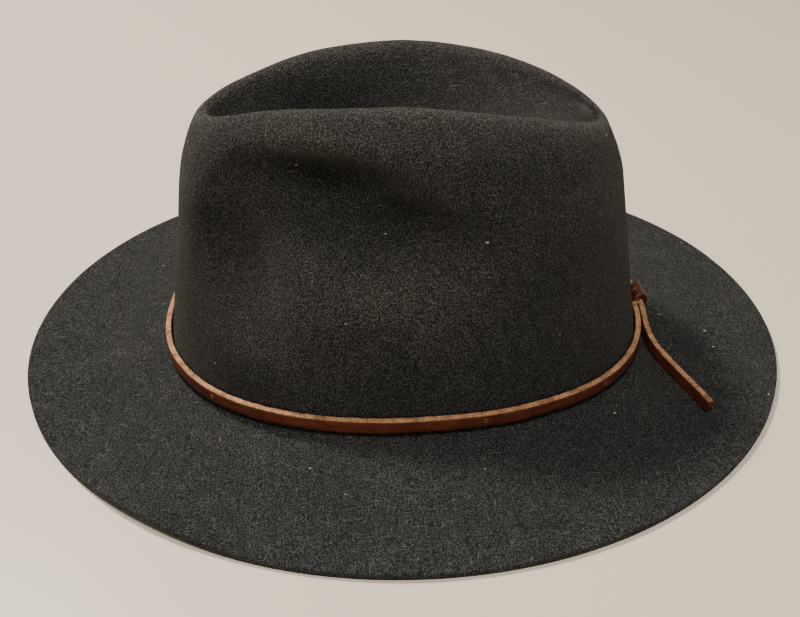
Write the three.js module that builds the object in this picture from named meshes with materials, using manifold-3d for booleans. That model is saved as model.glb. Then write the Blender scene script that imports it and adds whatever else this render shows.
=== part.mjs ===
import * as THREE from 'three';
import { mergeVertices } from 'three/addons/utils/BufferGeometryUtils.js';
import Module from 'manifold-3d';

// A wool-felt fedora with a flat leather lace tied round the crown.
// Millimetres, +Z up. The brim rests on z = 0, the front of the hat points to -Y
// and the wearer's left is +X.

const wasm = await Module();
wasm.setup();

// Driving dimensions.
const baseLength = 209; // outside of the felt where the crown meets the brim, front to back
const baseWidth = 173;
const crownHeight = 124;
const brimLength = 337;
const brimWidth = 305;
const feltThickness = 2.5;
const fitGap = 0.35; // clearance between pieces that touch on the real hat
const laceWidth = 6;
const laceThickness = 2.3;
const sweatbandHeight = 36;
const sweatbandThickness = 0.9;

// Shape of the block.
const baseRoundness = 2.19; // exponent of the head oval: 2 is an ellipse, more is squarer
const sideRise = 2.4; // how far the brim break rises at the sides and sinks front and back
const ridgeLength = 163;
const ridgeWidth = 74;
const ridgeTaper = 0.18; // narrows the teardrop towards the front
const ridgePeakY = -8;
const ridgeFall = 0.0026; // fall of the ridge per squared millimetre from its peak
const topRoundness = 2.05; // exponent of the ovals between wall and ridge
const creaseFront = -72;
const creaseBack = 74;
const creaseFloor = 105.5;
const creaseDepth = 14;
const creaseDeepestY = -22;
const creaseSpread = 34;
// Two control rings stand between the ridge (0) and the floor of the crease (1).
const creaseLip = { share: 0.2, sag: 3.5, below: 0.5 };
const creaseSlope = { share: 0.55, height: 0.24 };
// The dents that finger and thumb press in each side: depth, middle, and how far each fades.
const pinches = [
  { depth: 19, y: -33, z: 99, along: 26, above: 10, below: 26 },
  { depth: 14, y: -2, z: 84, along: 21, above: 12, below: 17 },
  { depth: 14, y: -67, z: 74, along: 18, above: 26, below: 28 },
];
// They fade to nothing towards the centre line and towards the brim.
const pinchFade = { noneX: 14, fullX: 42, noneZ: 24, fullZ: 48 };
const edgeLift = { height: 2.6, x: 114, y: -104, spread: 32 };

// Mesh density.
const crownSteps = 56;
const samplesPerRow = 2;
const bandSteps = 60;

const quarterTurn = Math.PI / 2;
const front = -quarterTurn;
const back = quarterTurn;

// One ring of control points round the hat, from the brim edge up to the crease.
// front, back and side are the distances from the centre line, z the height;
// rise is the share of sideRise, and taper narrows the ring towards the front.
const halfBrim = { y: brimLength / 2, x: brimWidth / 2 };
const halfBase = { y: baseLength / 2, x: baseWidth / 2 };
const brimRings = [
  { y: halfBrim.y, x: halfBrim.x, z: feltThickness, rise: 0 },
  { y: halfBrim.y - 5, x: halfBrim.x - 5, z: feltThickness, rise: 0 },
  { y: halfBrim.y - 13, x: halfBrim.x - 13, z: feltThickness, rise: 0 },
  { y: halfBrim.y - 23, x: halfBrim.x - 23, z: 2.7, rise: 0.1 },
  { y: halfBrim.y - 37, x: halfBrim.x - 38, z: 3.6, rise: 0.4 },
  { y: halfBrim.y - 50, x: halfBrim.x - 52, z: 4.9, rise: 0.8 },
  { y: halfBase.y + 5, x: halfBase.x + 5, z: 5.8, rise: 1 },
];
const wallRings = [
  { front: 105.2, back: 105.2, side: 87, z: 7.2, rise: 1, taper: 0 },
  { front: 104.5, back: 104.5, side: 86.4, z: 12.5, rise: 1, taper: 0 },
  { front: 103.2, back: 103.2, side: 85.2, z: 21, rise: 0.7, taper: 0 },
  { front: 99.6, back: 99, side: 81.2, z: 42, rise: 0.2, taper: 0 },
  { front: 95.4, back: 95, side: 74, z: 65, rise: 0, taper: 0.02 },
  { front: 94, back: 92, side: 67, z: 85, rise: 0, taper: 0.05 },
];
// Rings near the top hang below the ridge line by a drop instead of having a height.
const topRings = [
  { front: 91, back: 89.5, side: 60.5, drop: [14, 12, 22], taper: 0.1 },
  { front: 88.5, back: 87, side: 53.5, drop: [8, 6, 10], taper: 0.14 },
  { front: 85.5, back: 84.5, side: 45, drop: [2, 0.5, 3.2], taper: 0.17 },
];
const ridgeCrest = 1.5; // the control ring stands this far above the finished ridge

// Height of the ridge line at a distance y along the hat.
function ridgeHeight(y) {
  return crownHeight - ridgeFall * (y - ridgePeakY) ** 2;
}

// Height of the floor of the centre crease.
function creaseHeight(y) {
  const fromDeepest = (y - creaseDeepestY) / creaseSpread;
  return creaseFloor - creaseDepth * Math.exp(-fromDeepest * fromDeepest);
}

// A point of a closed oval; the exponent sets how square it is.
function ovalPoint(angle, sizes, exponent) {
  const c = Math.cos(angle);
  const s = Math.sin(angle);
  const power = 2 / exponent;
  const length = s < 0 ? sizes.front : sizes.back;
  const x = sizes.side * Math.sign(c) * Math.abs(c) ** power * (1 + sizes.taper * s);
  const y = length * Math.sign(s) * Math.abs(s) ** power;
  return { x, y };
}

// The control points of one section through the felt, from brim edge to crease.
function controlSection(angle) {
  const sides = Math.cos(2 * angle);
  const s = Math.sin(angle);
  const points = [];
  for (const ring of brimRings) {
    const sizes = { front: ring.y, back: ring.y, side: ring.x, taper: 0 };
    const squareness = 2 + (baseRoundness - 2) * ring.rise;
    const at = ovalPoint(angle, sizes, squareness);
    points.push(new THREE.Vector3(at.x, at.y, ring.z + sideRise * ring.rise * sides));
  }
  for (const ring of wallRings) {
    const at = ovalPoint(angle, ring, baseRoundness);
    points.push(new THREE.Vector3(at.x, at.y, ring.z + sideRise * ring.rise * sides));
  }
  const ridgeY = (s * ridgeLength) / 2;
  const ridge = ridgeHeight(ridgeY);
  for (const ring of topRings) {
    const at = ovalPoint(angle, ring, topRoundness);
    const [atFront, atBack, atSide] = ring.drop;
    const atEnd = s < 0 ? atFront : atBack;
    const drop = atEnd + (atSide - atEnd) * Math.cos(angle) ** 2;
    points.push(new THREE.Vector3(at.x, at.y, ridge - drop));
  }
  const ridgeSizes = {
    front: ridgeLength / 2,
    back: ridgeLength / 2,
    side: ridgeWidth / 2,
    taper: ridgeTaper,
  };
  const crest = ovalPoint(angle, ridgeSizes, 2);
  points.push(new THREE.Vector3(crest.x, crest.y, ridge + ridgeCrest));
  const creaseMiddle = (creaseFront + creaseBack) / 2;
  const creaseY = creaseMiddle + ((creaseBack - creaseFront) / 2) * s;
  const floor = new THREE.Vector3(0, creaseY, creaseHeight(creaseY));
  const crestPoint = points[points.length - 1];
  const lip = crestPoint.clone().lerp(floor, creaseLip.share);
  lip.z = ridge - creaseLip.sag * Math.cos(angle) ** 2 - creaseLip.below;
  const slope = crestPoint.clone().lerp(floor, creaseSlope.share);
  slope.z = floor.z + (ridge - floor.z) * creaseSlope.height;
  points.push(lip, slope, floor);
  points.push(new THREE.Vector3(-slope.x, slope.y, slope.z));
  return points;
}

// A uniform cubic B-spline through a run of four control points.
function splinePoint(points, index, t) {
  const at = (i) => points[Math.min(Math.max(i, 0), points.length - 1)];
  const weights = [
    (1 - t) ** 3 / 6,
    (3 * t ** 3 - 6 * t ** 2 + 4) / 6,
    (-3 * t ** 3 + 3 * t ** 2 + 3 * t + 1) / 6,
    t ** 3 / 6,
  ];
  const sum = new THREE.Vector3();
  weights.forEach((weight, k) => sum.addScaledVector(at(index - 1 + k), weight));
  return sum;
}

// The side dents pressed by finger and thumb, and the lifted stretch of the brim edge.
function shapeByHand(point) {
  const step = THREE.MathUtils.smoothstep;
  let press = 0;
  for (const pinch of pinches) {
    const spanZ = point.z > pinch.z ? pinch.above : pinch.below;
    const fromY = (point.y - pinch.y) / pinch.along;
    const fromZ = (point.z - pinch.z) / spanZ;
    press += pinch.depth * Math.exp(-fromY * fromY - fromZ * fromZ);
  }
  press *= step(Math.abs(point.x), pinchFade.noneX, pinchFade.fullX);
  press *= step(point.z, pinchFade.noneZ, pinchFade.fullZ);
  point.x -= Math.sign(point.x) * press;
  const away = Math.hypot(point.x - edgeLift.x, point.y - edgeLift.y) / edgeLift.spread;
  point.z += edgeLift.height * Math.exp(-away * away);
  return point;
}

// The outer surface of the felt along one section; the seam of the crease comes last.
function feltSection(angle) {
  const controls = controlSection(angle);
  const last = controls.length - 2;
  const section = [controls[0].clone()];
  for (let i = 1; i < last; i += 1) {
    for (let k = 0; k < samplesPerRow; k += 1) {
      section.push(splinePoint(controls, i, k / samplesPerRow));
    }
  }
  section.push(splinePoint(controls, last, 0));
  return section.map(shapeByHand);
}

// A point on the outside of the crown wall at a height, with the direction outwards.
function wallFrame(angle, height) {
  const pointAt = (turn) => {
    const section = feltSection(turn);
    const start = brimRings.length * samplesPerRow;
    for (let i = start; i < section.length - 1; i += 1) {
      const low = section[i];
      const high = section[i + 1];
      if (height <= high.z || i === section.length - 2) {
        const share = (height - low.z) / (high.z - low.z);
        return low.clone().lerp(high, share);
      }
    }
    return section[start];
  };
  const step = 0.01;
  const point = pointAt(angle);
  const along = pointAt(angle + step).sub(pointAt(angle - step));
  const outward = new THREE.Vector3(along.y, -along.x, 0).normalize();
  return { point, outward };
}

// The height of the brim break at an angle round the hat.
function breakRise(angle) {
  return sideRise * Math.cos(2 * angle);
}

// ---- Mesh helpers ----

function geometryFrom(vertices, faces) {
  const geometry = new THREE.BufferGeometry();
  const numbers = vertices.flatMap((v) => [v.x, v.y, v.z]);
  geometry.setAttribute('position', new THREE.Float32BufferAttribute(numbers, 3));
  geometry.setIndex(faces.flat());
  return geometry;
}

// Joins the rows of a closed grid: rows[i][j] is point j of section i.
function sweptGeometry(sections, closedRound) {
  const count = sections[0].length;
  const vertices = sections.flat();
  const faces = [];
  const spans = closedRound ? sections.length : sections.length - 1;
  for (let i = 0; i < spans; i += 1) {
    const next = (i + 1) % sections.length;
    for (let j = 0; j < count; j += 1) {
      const beside = (j + 1) % count;
      const a = i * count + j;
      const b = next * count + j;
      const c = next * count + beside;
      const d = i * count + beside;
      faces.push([a, b, c], [a, c, d]);
    }
  }
  if (!closedRound) {
    for (let j = 1; j < count - 1; j += 1) {
      const end = (sections.length - 1) * count;
      faces.push([0, j, j + 1], [end, end + j + 1, end + j]);
    }
  }
  return geometryFrom(vertices, faces);
}

// Sweeps a section round the crown wall. outline(angle) gives [out, up] pairs measured
// from the wall at the height baseHeight(angle), listed anticlockwise seen along the sweep.
function ringPiece(outline, baseHeight, from, to, steps) {
  const closed = Math.abs(to - from) > 2 * Math.PI - 1e-6;
  const sections = [];
  const count = closed ? steps : steps + 1;
  for (let i = 0; i < count; i += 1) {
    const angle = from + ((to - from) * i) / steps;
    const height = baseHeight(angle);
    sections.push(
      outline.map(([out, up]) => {
        const frame = wallFrame(angle, height + Math.max(up, 0));
        const point = frame.point.addScaledVector(frame.outward, out);
        point.z = height + up;
        return point;
      }),
    );
  }
  return sweptGeometry(sections, closed);
}

// A flat strip with softened corners: [out, up] pairs from its inner lower corner.
function stripOutline(inner, outer, low, high, corner) {
  return [
    [inner + corner, low],
    [outer - corner, low],
    [outer, low + corner],
    [outer, high - corner],
    [outer - corner, high],
    [inner + corner, high],
    [inner, high - corner],
    [inner, low + corner],
  ];
}

// A round section with its centre at [out, up].
function roundOutline(out, up, radius, sides) {
  const outline = [];
  for (let k = 0; k < sides; k += 1) {
    const turn = (2 * Math.PI * k) / sides;
    outline.push([out + radius * Math.cos(turn), up + radius * Math.sin(turn)]);
  }
  return outline;
}

function solidFrom(geometry) {
  const bare = geometry.index ? geometry.toNonIndexed() : geometry.clone();
  bare.deleteAttribute('normal');
  bare.deleteAttribute('uv');
  const merged = mergeVertices(bare, 1e-4);
  const mesh = new wasm.Mesh({
    numProp: 3,
    vertProperties: new Float32Array(merged.attributes.position.array),
    triVerts: new Uint32Array(merged.index.array),
  });
  return new wasm.Manifold(mesh);
}

function geometryOf(solid) {
  const mesh = solid.getMesh();
  const geometry = new THREE.BufferGeometry();
  geometry.setAttribute('position', new THREE.Float32BufferAttribute(mesh.vertProperties, 3));
  geometry.setIndex(Array.from(mesh.triVerts));
  return geometry;
}

// ---- The felt ----

const levelEnough = 0.99; // an upward normal at least this steep counts as level

// Crown and brim in one piece: the outer surface, the same surface moved in by the
// thickness of the felt, and the raw cut edge between them.
function feltBody() {
  const sections = [];
  for (let i = 0; i < crownSteps; i += 1) {
    sections.push(feltSection(front + (2 * Math.PI * i) / crownSteps));
  }
  const seamRow = sections[0].length - 1;
  const half = crownSteps / 2;
  const outer = sections.flatMap((section) => section.slice(0, seamRow));
  for (let i = 0; i <= half; i += 1) {
    outer.push(sections[i][seamRow]);
  }
  const indexOf = (i, j) => {
    const around = i % crownSteps;
    if (j < seamRow) return around * seamRow + j;
    return crownSteps * seamRow + (around <= half ? around : crownSteps - around);
  };
  const faces = [];
  for (let i = 0; i < crownSteps; i += 1) {
    for (let j = 0; j < seamRow; j += 1) {
      const [a, b] = [indexOf(i, j), indexOf(i + 1, j)];
      const [c, d] = [indexOf(i + 1, j + 1), indexOf(i, j + 1)];
      faces.push([a, b, c], [a, c, d]);
    }
  }
  const surface = geometryFrom(outer, faces);
  surface.computeVertexNormals();
  const normals = surface.getAttribute('normal');
  const inner = outer.map((point, k) => {
    const normal = new THREE.Vector3().fromBufferAttribute(normals, k);
    if (normal.z > levelEnough) normal.set(0, 0, 1); // the brim keeps a flat underside
    return point.clone().addScaledVector(normal, -feltThickness);
  });
  const shift = outer.length;
  const inside = faces.map(([a, b, c]) => [shift + a, shift + c, shift + b]);
  const edge = [];
  for (let i = 0; i < crownSteps; i += 1) {
    const [a, b] = [indexOf(i, 0), indexOf(i + 1, 0)];
    edge.push([shift + a, shift + b, b], [shift + a, b, a]);
  }
  return geometryFrom([...outer, ...inner], [...faces, ...inside, ...edge]);
}

// ---- The lace round the crown ----

const laceLow = 9.2; // height of the lace's lower edge, before the rise of the break
const knotTurn = THREE.MathUtils.degToRad(4.4); // half the knot, as a turn round the crown
const knotCentre = new THREE.Vector3(0, halfBase.y + 4.8, 10.9);
const knotCore = { length: 15.4, depth: 6.2, height: 6.8 };
const knotWrap = { length: 4.4, depth: 7.8, height: 10.6, apart: 3.4 };

function bandStrap() {
  const outline = stripOutline(fitGap, fitGap + laceThickness, 0, laceWidth, 0.4);
  const height = (angle) => laceLow + breakRise(angle);
  const start = back + knotTurn;
  const end = back + 2 * Math.PI - knotTurn;
  return ringPiece(outline, height, start, end, bandSteps);
}

// A block along X with rounded long edges.
function roundedBlock({ length, depth, height }, round) {
  const [y, z] = [depth / 2, height / 2];
  const shape = new THREE.Shape();
  shape.moveTo(-y + round, -z);
  shape.lineTo(y - round, -z);
  shape.quadraticCurveTo(y, -z, y, -z + round);
  shape.lineTo(y, z - round);
  shape.quadraticCurveTo(y, z, y - round, z);
  shape.lineTo(-y + round, z);
  shape.quadraticCurveTo(-y, z, -y, z - round);
  shape.lineTo(-y, -z + round);
  shape.quadraticCurveTo(-y, -z, -y + round, -z);
  const cut = { depth: length, bevelEnabled: false, curveSegments: 3 };
  const block = new THREE.ExtrudeGeometry(shape, cut);
  block.translate(0, 0, -length / 2);
  block.rotateY(quarterTurn);
  block.rotateX(quarterTurn);
  return block;
}

// Two turns of lace drawn tight over the crossed ends.
function bandKnot() {
  const core = roundedBlock(knotCore, 2);
  core.translate(0, 0, -1);
  let knot = solidFrom(core);
  for (const side of [-1, 1]) {
    const wrap = roundedBlock(knotWrap, 3);
    wrap.translate(side * knotWrap.apart, 0, 0);
    knot = knot.add(solidFrom(wrap));
  }
  return geometryOf(knot).translate(knotCentre.x, knotCentre.y, knotCentre.z);
}

// Each tail lies on its edge, out of the knot and down on to the brim.
const nearTailRoute = [
  [9.3, 109.1, 9.7], [13, 108.6, 9.5], [18, 107.9, 9.1], [23, 107.4, 8.6], [28, 107.3, 8.1],
  [33, 107.6, 7.6], [38, 108.5, 7.2], [43, 109.8, 6.9], [48, 111.3, 6.7], [53, 112.9, 6.5],
  [58, 114.5, 6.4], [63, 116.1, 6.3], [68, 117.6, 6.2], [72, 118.7, 6.2], [76, 119.8, 6.2],
];
const farTailRoute = [
  [-9.3, 109.1, 9.7], [-13, 108.5, 9.4], [-17, 107.8, 9.1], [-21, 107, 8.7], [-25, 106.1, 8.3],
  [-29, 105.2, 8], [-33, 104.2, 7.8], [-37, 103.2, 7.65], [-41, 102.1, 7.6], [-45, 100.9, 7.65],
  [-49, 99.8, 7.65], [-52, 98.8, 7.7], [-55, 97.9, 7.7], [-58, 97, 7.7],
];
const tailSteps = 20;

function laceTail(route) {
  const curve = new THREE.CatmullRomCurve3(route.map((at) => new THREE.Vector3(...at)));
  const up = new THREE.Vector3(0, 0, 1);
  const halfThick = laceThickness / 2;
  const outline = stripOutline(-halfThick, halfThick, -laceWidth / 2, laceWidth / 2, 0.4);
  const sections = [];
  for (let i = 0; i <= tailSteps; i += 1) {
    const centre = curve.getPointAt(i / tailSteps);
    const out = curve.getTangentAt(i / tailSteps).cross(up).normalize();
    sections.push(
      outline.map(([side, rise]) => centre.clone().addScaledVector(out, side).addScaledVector(up, rise)),
    );
  }
  return sweptGeometry(sections, false);
}

// A small thread tack that holds the lace to the felt.
const tackTurns = [-49, 12, 45, 135, 172, 228];
const tackRadius = 1;
const tackThickness = 0.5;

function strapTack(degrees) {
  const angle = THREE.MathUtils.degToRad(degrees);
  const height = laceLow + breakRise(angle) + laceWidth / 2;
  const { point, outward } = wallFrame(angle, height);
  const away = fitGap * 2 + laceThickness + tackThickness / 2;
  const tack = new THREE.CylinderGeometry(tackRadius, tackRadius, tackThickness, 10);
  tack.rotateZ(-quarterTurn);
  tack.rotateZ(Math.atan2(outward.y, outward.x));
  point.addScaledVector(outward, away);
  return tack.translate(point.x, point.y, height);
}

// ---- Inside the crown ----

const bandClearance = 1.2; // room behind the sweatband for its join and labels
const bandOut = -(feltThickness + bandClearance);
const seamLow = 4.2; // height of the reed, before the rise of the break
const bandFoot = 2; // the sweatband starts this far above the reed
const reedRadius = 0.8;
const tapeRadius = 1.5;
const tapeThickness = 0.35;
const threadRadius = 0.3;
const tabThickness = 0.4;
const tabOut = -(feltThickness + fitGap);
const seamHeight = (angle) => seamLow + breakRise(angle) * 0.9;

// A tall strip that follows the slope of the wall, in a few levels.
function tallStrip(inner, outer, low, high) {
  const levels = 3;
  const outline = [];
  for (let k = 0; k <= levels; k += 1) {
    outline.push([outer, low + ((high - low) * k) / levels]);
  }
  for (let k = levels; k >= 0; k -= 1) {
    outline.push([inner, low + ((high - low) * k) / levels]);
  }
  return outline;
}

function sweatband() {
  const outline = tallStrip(bandOut - sweatbandThickness, bandOut, bandFoot, bandFoot + sweatbandHeight);
  const buttGap = THREE.MathUtils.degToRad(0.25);
  return ringPiece(outline, seamHeight, back + buttGap, back + 2 * Math.PI - buttGap, bandSteps);
}

const reedOut = -(feltThickness + fitGap + tapeRadius);

function sweatbandReed() {
  const outline = roundOutline(reedOut, 0, reedRadius, 5);
  return ringPiece(outline, seamHeight, front, front + 2 * Math.PI, bandSteps);
}

// The cotton tape folded round the reed, open along its top.
function reedTape() {
  const outline = [];
  const steps = 5;
  const opening = THREE.MathUtils.degToRad(35);
  const arc = (radius, reverse) => {
    for (let k = 0; k <= steps; k += 1) {
      const share = reverse ? 1 - k / steps : k / steps;
      const turn = quarterTurn + opening + (2 * Math.PI - 2 * opening) * share;
      outline.push([reedOut + radius * Math.cos(turn), radius * Math.sin(turn)]);
    }
  };
  arc(tapeRadius, false);
  arc(tapeRadius - tapeThickness, true);
  return ringPiece(outline, seamHeight, front, front + 2 * Math.PI, bandSteps);
}

// The line of stitches that holds the sweatband to the tape.
function sweatbandStitching() {
  const out = bandOut - sweatbandThickness - fitGap - threadRadius;
  const outline = roundOutline(out, bandFoot + 2, threadRadius, 5);
  return ringPiece(outline, seamHeight, front, front + 2 * Math.PI, bandSteps);
}

// A flat tab of cloth or leather behind the sweatband, centred on a turn round the crown.
function wallTab(degrees, width, low, high) {
  const middle = THREE.MathUtils.degToRad(degrees);
  const half = width / 2 / halfBase.y;
  const outline = tallStrip(tabOut - tabThickness, tabOut, low, high);
  return ringPiece(outline, seamHeight, middle - half, middle + half, 6);
}

// A ribbon bow sewn over the join of the sweatband, its two loops open upwards.
const bow = { halfLength: 11, halfDepth: 1.5, waist: 0.8, ribbon: 5.5 };

function sweatbandBow() {
  const shape = new THREE.Shape();
  const reach = bow.halfLength;
  shape.moveTo(0, -bow.waist);
  shape.quadraticCurveTo(reach * 0.7, -bow.halfDepth * 2, reach, 0);
  shape.quadraticCurveTo(reach * 0.7, bow.halfDepth * 2, 0, bow.waist);
  shape.quadraticCurveTo(-reach * 0.7, bow.halfDepth * 2, -reach, 0);
  shape.quadraticCurveTo(-reach * 0.7, -bow.halfDepth * 2, 0, -bow.waist);
  for (const side of [-1, 1]) {
    const hole = new THREE.Path();
    const [near, far] = [side * 2, side * (reach - 1.2)];
    hole.moveTo(near, 0);
    hole.quadraticCurveTo((near + far) / 2, bow.halfDepth, far, 0);
    hole.quadraticCurveTo((near + far) / 2, -bow.halfDepth, near, 0);
    shape.holes.push(hole);
  }
  const cut = { depth: bow.ribbon, bevelEnabled: false, curveSegments: 6 };
  const loops = new THREE.ExtrudeGeometry(shape, cut);
  const height = seamLow + 14;
  const wall = wallFrame(back, height + bow.ribbon).point.y;
  const setIn = bandOut - sweatbandThickness - fitGap * 2 - bow.halfDepth;
  return loops.translate(0, wall + setIn, height);
}

// ---- Materials and assembly ----

function finish(color, roughness, metalness = 0) {
  return new THREE.MeshStandardMaterial({ color, roughness, metalness });
}

const felt = finish(0x33373a, 0.95);
const lace = finish(0x7a3f1f, 0.5);
const bandLeather = finish(0x2b1d15, 0.55);
const plastic = finish(0xd9d4c6, 0.6);
const cotton = finish(0x1d1d1f, 0.9);
const thread = finish(0x8a5a3a, 0.8);
const label = finish(0xd8d2c4, 0.85);
const ribbon = finish(0x16171a, 0.7);

const hat = new THREE.Group();

function add(name, geometry, material) {
  const mesh = new THREE.Mesh(geometry, material);
  mesh.name = name;
  hat.add(mesh);
}

add('felt_body', feltBody(), felt);
add('band_strap', bandStrap(), lace);
add('band_knot', bandKnot(), lace);
add('near_tail', laceTail(nearTailRoute), lace);
add('far_tail', laceTail(farTailRoute), lace);
tackTurns.forEach((degrees, k) => add(`strap_tack_${k + 1}`, strapTack(degrees), thread));
add('sweatband', sweatband(), bandLeather);
add('sweatband_join', wallTab(90, 9, bandFoot + 1, bandFoot + sweatbandHeight - 2), bandLeather);
add('sweatband_reed', sweatbandReed(), plastic);
add('reed_tape', reedTape(), cotton);
add('sweatband_stitching', sweatbandStitching(), thread);
add('sweatband_bow', sweatbandBow(), ribbon);
add('size_label', wallTab(112, 16, sweatbandHeight - 8, sweatbandHeight + 12), label);
add('care_label', wallTab(66, 13, sweatbandHeight - 8, sweatbandHeight + 26), label);

export default hat;
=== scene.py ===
import math
import bpy
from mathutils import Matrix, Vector, noise
from mathutils.bvhtree import BVHTree


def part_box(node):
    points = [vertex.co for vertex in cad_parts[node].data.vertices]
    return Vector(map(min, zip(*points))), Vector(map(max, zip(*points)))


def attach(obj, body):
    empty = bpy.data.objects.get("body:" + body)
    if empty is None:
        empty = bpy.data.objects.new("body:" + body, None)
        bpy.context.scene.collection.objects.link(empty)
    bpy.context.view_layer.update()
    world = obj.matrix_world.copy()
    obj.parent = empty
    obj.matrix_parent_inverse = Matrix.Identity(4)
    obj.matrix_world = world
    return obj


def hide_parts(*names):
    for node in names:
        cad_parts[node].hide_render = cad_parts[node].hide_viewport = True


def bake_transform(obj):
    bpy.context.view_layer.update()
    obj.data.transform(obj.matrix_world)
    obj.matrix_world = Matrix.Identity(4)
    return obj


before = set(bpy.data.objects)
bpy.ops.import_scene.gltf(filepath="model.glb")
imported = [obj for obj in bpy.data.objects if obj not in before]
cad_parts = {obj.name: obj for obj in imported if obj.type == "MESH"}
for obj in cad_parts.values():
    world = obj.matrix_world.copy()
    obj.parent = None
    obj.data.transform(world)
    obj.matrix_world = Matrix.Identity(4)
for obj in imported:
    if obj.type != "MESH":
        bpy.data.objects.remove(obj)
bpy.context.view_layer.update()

mm = 0.001
turn = 2 * math.pi
frontAngle = -math.pi / 2
backAngle = math.pi / 2
print("frame loaded")

viewpoint = {
    "azimuth": 85.6,  # degrees round from the front of the hat towards the wearer's left
    "elevation": 34.0,
    "distance": 0.4705,
    "aim": Vector((0, -0.0017, 0.0098)),
    "lens": 45.85,
}


def placeCamera():
    around = math.radians(viewpoint["azimuth"])
    above = math.radians(viewpoint["elevation"])
    level = math.cos(above)
    away = Vector((math.sin(around) * level, -math.cos(around) * level, math.sin(above)))
    data = bpy.data.cameras.new("hatCamera")
    data.lens = viewpoint["lens"]
    data.clip_start = 10 * mm
    camera = bpy.data.objects.new("hatCamera", data)
    bpy.context.scene.collection.objects.link(camera)
    camera.location = viewpoint["aim"] + away * viewpoint["distance"]
    camera.rotation_euler = (-away).to_track_quat("-Z", "Y").to_euler()
    bpy.context.scene.camera = camera


placeCamera()
print("camera placed")


def activate(piece):
    bpy.ops.object.select_all(action="DESELECT")
    piece.select_set(True)
    bpy.context.view_layer.objects.active = piece


def editAll(piece):
    activate(piece)
    bpy.ops.object.mode_set(mode="EDIT")
    bpy.ops.mesh.select_all(action="SELECT")


def applyModifier(piece, kind, **settings):
    activate(piece)
    modifier = piece.modifiers.new(kind.title(), kind)
    for key, value in settings.items():
        setattr(modifier, key, value)
    bpy.ops.object.modifier_apply(modifier=modifier.name)


def smooth(piece, angle):
    activate(piece)
    bpy.ops.object.shade_smooth_by_angle(angle=math.radians(angle))


def settle(piece):
    activate(piece)
    bpy.ops.object.transform_apply(location=True, rotation=True, scale=True)


def surfaceOf(piece):
    points = [vertex.co.copy() for vertex in piece.data.vertices]
    return BVHTree.FromPolygons(points, [list(face.vertices) for face in piece.data.polygons])


def bell(value, middle, spread):
    return math.exp(-(((value - middle) / spread) ** 2))


def easeBetween(value, low, high):
    share = min(max((value - low) / (high - low), 0), 1)
    return share * share * (3 - 2 * share)


seedSteps = (17.3, 5.1, 9.7)  # each seed looks at its own part of the noise


def wander(point, scale, seed):
    # smooth noise between -1 and 1 at a point in metres, scale in bumps per metre
    return noise.noise(Vector(point) * scale + Vector([seed * step for step in seedSteps]))


def finishPiece(piece, nodeName, material):
    piece.data.materials.clear()
    piece.data.materials.append(material)
    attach(piece, "hat")
    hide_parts(nodeName)


def newMaterial(name, roughness, sheen=0, sheenRoughness=0.5, coat=0, specular=0.5):
    material = bpy.data.materials.new(name)
    material.use_nodes = True
    shader = material.node_tree.nodes["Principled BSDF"]
    shader.inputs["Roughness"].default_value = roughness
    shader.inputs["Sheen Weight"].default_value = sheen
    shader.inputs["Sheen Roughness"].default_value = sheenRoughness
    shader.inputs["Coat Weight"].default_value = coat
    shader.inputs["Specular IOR Level"].default_value = specular
    return material, material.node_tree, shader


def node(tree, kind, **values):
    made = tree.nodes.new(kind)
    for key, value in values.items():
        if key in made.inputs:
            made.inputs[key].default_value = value
        else:
            setattr(made, key, value)
    return made


def objectPlace(tree, scale=(1, 1, 1), rotation=(0, 0, 0)):
    place = node(tree, "ShaderNodeTexCoord")
    mapping = node(tree, "ShaderNodeMapping")
    mapping.inputs["Scale"].default_value = scale
    mapping.inputs["Rotation"].default_value = rotation
    tree.links.new(place.outputs["Object"], mapping.inputs["Vector"])
    return mapping.outputs["Vector"]


def noiseAt(tree, place, scale, detail=4, rough=0.6):
    made = node(tree, "ShaderNodeTexNoise", Scale=scale, Detail=detail, Roughness=rough)
    tree.links.new(place, made.inputs["Vector"])
    return made.outputs["Fac"]


def rampFrom(tree, value, stops):
    ramp = node(tree, "ShaderNodeValToRGB")
    band = ramp.color_ramp
    while len(band.elements) < len(stops):
        band.elements.new(0.5)
    for element, (place, color) in zip(band.elements, stops):
        element.position = place
        element.color = (*color, 1) if len(color) == 3 else color
    tree.links.new(value, ramp.inputs["Fac"])
    return ramp.outputs["Color"]


def plug(tree, value, socket):
    # joins a socket to another one, or sets its own value
    if isinstance(value, bpy.types.NodeSocket):
        tree.links.new(value, socket)
    elif socket.type == "RGBA":
        socket.default_value = (*value, 1)
    else:
        socket.default_value = value


def mixColors(tree, factor, first, second, blend="MIX"):
    mix = node(tree, "ShaderNodeMix", data_type="RGBA", blend_type=blend)
    factorInput = next(socket for socket in mix.inputs if socket.type == "VALUE")
    firstInput, secondInput = [socket for socket in mix.inputs if socket.type == "RGBA"]
    plug(tree, factor, factorInput)
    plug(tree, first, firstInput)
    plug(tree, second, secondInput)
    return next(socket for socket in mix.outputs if socket.type == "RGBA")


def tint(tree, color, layer):
    return mixColors(tree, 1.0, color, layer, "MULTIPLY")


def mathAt(tree, operation, first, second):
    made = node(tree, "ShaderNodeMath", operation=operation)
    plug(tree, first, made.inputs[0])
    plug(tree, second, made.inputs[1])
    return made.outputs["Value"]


def bumpFrom(tree, shader, height, distance, strength=1.0):
    bump = node(tree, "ShaderNodeBump", Strength=strength, Distance=distance)
    tree.links.new(height, bump.inputs["Height"])
    tree.links.new(bump.outputs["Normal"], shader.inputs["Normal"])


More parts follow.
